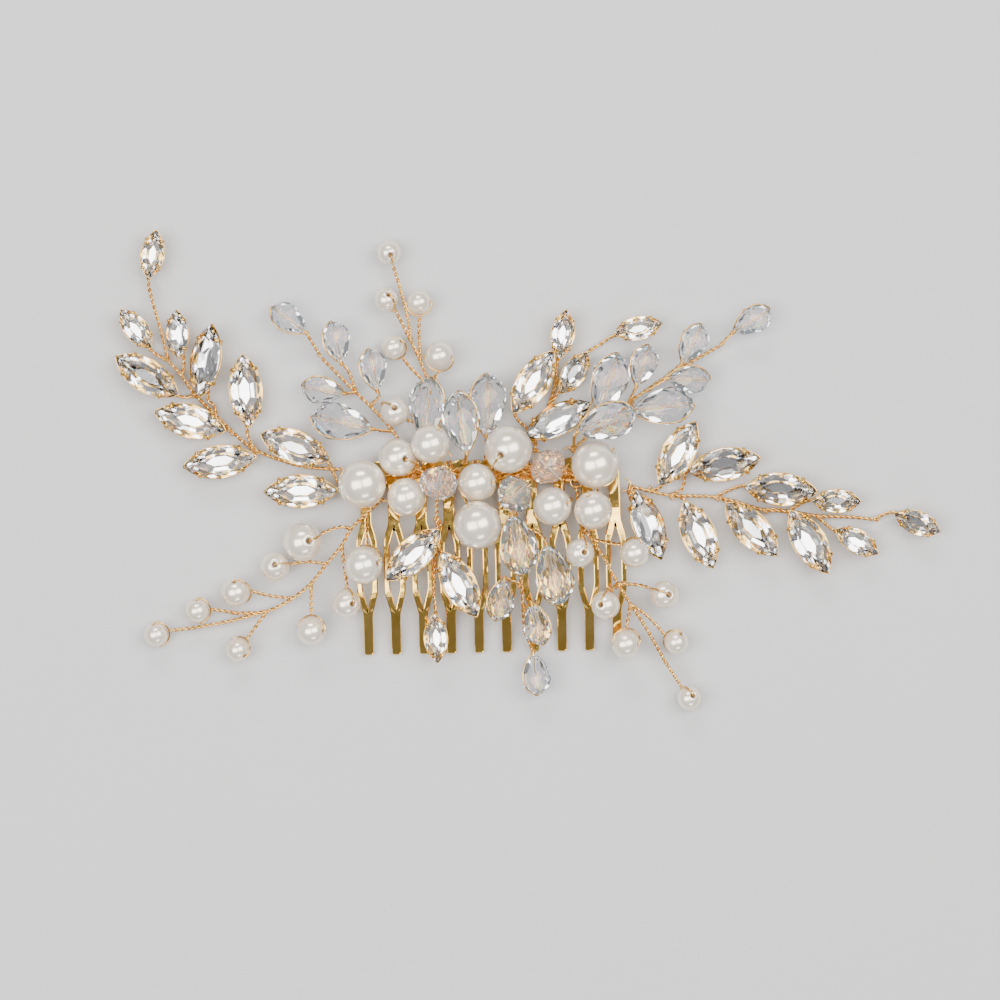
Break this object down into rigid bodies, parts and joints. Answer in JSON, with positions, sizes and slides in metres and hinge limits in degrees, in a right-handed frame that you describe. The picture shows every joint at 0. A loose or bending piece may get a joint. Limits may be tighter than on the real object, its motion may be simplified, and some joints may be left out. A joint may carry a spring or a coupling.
{
  "type": "decorative hair comb",
  "caption": "Arched metal hair comb with a spray of pearls, cut crystal drops and set marquise stones on bendable wire sprigs bound to its spine.",
  "frame": {"origin": "middle of the spine's flat back face, which lies against the hair", "axes": "+X along the spine, +Y away from the tooth tips, +Z out of the decorated front as the comb lies on a table"},
  "size_m": [0.1716, 0.1027, 0.0158],
  "materials": {
    "polished_gold": "polished gold plate",
    "binding_gold": "fine gold-coloured wire",
    "wire_gold": "twisted rose-gold wire",
    "setting_gold": "stamped gold plate",
    "cut_stone": "foil-backed cut glass",
    "cut_drop": "clear cut glass with a faint rainbow coat",
    "blush_crystal": "champagne cut glass",
    "clear_crystal": "clear cut glass",
    "pearl": "glossy pearl coat"
  },
  "bodies": {
    "comb_base": {"comb": "polished_gold", "binding_wire": "binding_gold", "anchor_wires": "wire_gold", "centre_bead_wires": "wire_gold", "crown_drops": "cut_drop", "crown_drop_wires": "wire_gold", "upper_left_pearl": "pearl", "upper_middle_pearl": "pearl", "lower_outer_pearl": "pearl", "middle_pearl": "pearl", "lower_inner_pearl": "pearl", "right_lower_pearl": "pearl"},
    "left_crystal_bead": {"left_crystal": "blush_crystal"},
    "left_hero_pearl_bead": {"left_hero_pearl": "pearl"},
    "lower_hero_pearl_bead": {"lower_hero_pearl": "pearl"},
    "middle_crystal_bead": {"middle_crystal": "clear_crystal"},
    "right_crystal_bead": {"right_crystal": "blush_crystal"},
    "right_hero_pearl_bead": {"right_hero_pearl": "pearl"},
    "upper_hero_pearl_bead": {"upper_hero_pearl": "pearl"},
    "left_leaf_sprig": {"left_leaf_large_stones": "cut_stone", "left_leaf_settings": "setting_gold", "left_leaf_small_stones": "cut_stone", "left_leaf_stem_wire": "wire_gold"},
    "right_leaf_sprig": {"right_leaf_large_stones": "cut_stone", "right_leaf_settings": "setting_gold", "right_leaf_small_stones": "cut_stone", "right_leaf_stem_wire": "wire_gold"},
    "upper_leaf_sprig": {"upper_leaf_large_stones": "cut_stone", "upper_leaf_settings": "setting_gold", "upper_leaf_small_stones": "cut_stone", "upper_leaf_stem_wire": "wire_gold"},
    "lower_leaf_sprig": {"lower_leaf_large_stones": "cut_stone", "lower_leaf_settings": "setting_gold", "lower_leaf_small_stones": "cut_stone", "lower_leaf_stem_wire": "wire_gold"},
    "upper_left_drop_sprig": {"upper_left_drop_large_drops": "cut_drop", "upper_left_drop_small_drops": "cut_drop", "upper_left_drop_stem_wire": "wire_gold"},
    "upper_right_drop_sprig": {"upper_right_drop_large_drops": "cut_drop", "upper_right_drop_small_drops": "cut_drop", "upper_right_drop_stem_wire": "wire_gold"},
    "lower_drop_sprig": {"lower_drop_large_drops": "cut_drop", "lower_drop_small_drops": "cut_drop", "lower_drop_stem_wire": "wire_gold"},
    "top_pearl_sprig": {"top_pearl_large_drops": "cut_drop", "top_pearl_medium_pearls": "pearl", "top_pearl_small_pearls": "pearl", "top_pearl_stem_wire": "wire_gold"},
    "lower_left_pearl_sprig": {"lower_left_pearl_large_pearls": "pearl", "lower_left_pearl_medium_pearls": "pearl", "lower_left_pearl_small_pearls": "pearl", "lower_left_pearl_stem_wire": "wire_gold"},
    "lower_right_pearl_sprig": {"lower_right_pearl_medium_pearls": "pearl", "lower_right_pearl_small_pearls": "pearl", "lower_right_pearl_stem_wire": "wire_gold"}
  },
  "joints": [
    {"name": "left_leaf_bend", "type": "hinge", "parent": "comb_base", "child": "left_leaf_sprig", "pos_m": [-0.0284, 0.0007, 0.0016], "axis": [0.0434, 0.9991, 0], "range_deg": [-10, 12]},
    {"name": "right_leaf_bend", "type": "hinge", "parent": "comb_base", "child": "right_leaf_sprig", "pos_m": [0.0293, -0.004, 0.0016], "axis": [-0.2609, -0.9654, 0], "range_deg": [-10, 6]},
    {"name": "upper_leaf_bend", "type": "hinge", "parent": "comb_base", "child": "upper_leaf_sprig", "pos_m": [0.0096, 0.0039, 0.0008], "axis": [0.9979, -0.0644, 0], "range_deg": [-10, 4]},
    {"name": "lower_leaf_bend", "type": "hinge", "parent": "comb_base", "child": "lower_leaf_sprig", "pos_m": [-0.0111, -0.0054, 0.0031], "axis": [-0.9997, 0.0244, 0], "range_deg": [0, 20]},
    {"name": "upper_left_drop_bend", "type": "hinge", "parent": "comb_base", "child": "upper_left_drop_sprig", "pos_m": [-0.0178, 0.0044, 0.001], "axis": [0.9025, 0.4307, 0], "range_deg": [-10, 10]},
    {"name": "upper_right_drop_bend", "type": "hinge", "parent": "comb_base", "child": "upper_right_drop_sprig", "pos_m": [0.0174, 0.0039, 0.001], "axis": [0.6347, -0.7727, 0], "range_deg": [-10, 10]},
    {"name": "lower_drop_bend", "type": "hinge", "parent": "comb_base", "child": "lower_drop_sprig", "pos_m": [0.0054, -0.0076, 0.003], "axis": [-0.9983, 0.0587, 0], "range_deg": [0, 6]},
    {"name": "top_pearl_bend", "type": "hinge", "parent": "comb_base", "child": "top_pearl_sprig", "pos_m": [-0.0094, 0.004, 0.0006], "axis": [0.9806, 0.1961, 0], "range_deg": [-10, 1]},
    {"name": "lower_left_pearl_bend", "type": "hinge", "parent": "comb_base", "child": "lower_left_pearl_sprig", "pos_m": [-0.0228, -0.0056, 0.0029], "axis": [-0.7179, 0.6961, 0], "range_deg": [0, 8]},
    {"name": "lower_right_pearl_bend", "type": "hinge", "parent": "comb_base", "child": "lower_right_pearl_sprig", "pos_m": [0.0181, -0.0039, 0.0029], "axis": [-0.9991, -0.0422, 0], "range_deg": [0, 6]},
    {"name": "left_crystal_spin", "type": "hinge", "parent": "comb_base", "child": "left_crystal_bead", "pos_m": [-0.0106, -0.0025, 0.0096], "axis": [0.212, 0.7912, 0.5736], "continuous": true},
    {"name": "left_hero_pearl_spin", "type": "hinge", "parent": "comb_base", "child": "left_hero_pearl_bead", "pos_m": [-0.0265, -0.0024, 0.0078], "axis": [-0.8138, 0.4698, 0.342], "continuous": true},
    {"name": "lower_hero_pearl_spin", "type": "hinge", "parent": "comb_base", "child": "lower_hero_pearl_bead", "pos_m": [-0.0027, -0.0114, 0.0098], "axis": [-0.3971, 0.8517, 0.342], "continuous": true},
    {"name": "middle_crystal_spin", "type": "hinge", "parent": "comb_base", "child": "middle_crystal_bead", "pos_m": [0.0051, -0.0052, 0.0076], "axis": [0.8236, 0.4755, 0.309], "continuous": true},
    {"name": "right_crystal_spin", "type": "hinge", "parent": "comb_base", "child": "right_crystal_bead", "pos_m": [0.0121, 0.0004, 0.0063], "axis": [0.6645, -0.6645, 0.342], "continuous": true},
    {"name": "right_hero_pearl_spin", "type": "hinge", "parent": "comb_base", "child": "right_hero_pearl_bead", "pos_m": [0.022, 0.0006, 0.007], "axis": [0.7198, 0.604, 0.342], "continuous": true},
    {"name": "upper_hero_pearl_spin", "type": "hinge", "parent": "comb_base", "child": "upper_hero_pearl_bead", "pos_m": [0.004, 0.0042, 0.0078], "axis": [-0.3699, -0.289, 0.8829], "continuous": true}
  ]
}
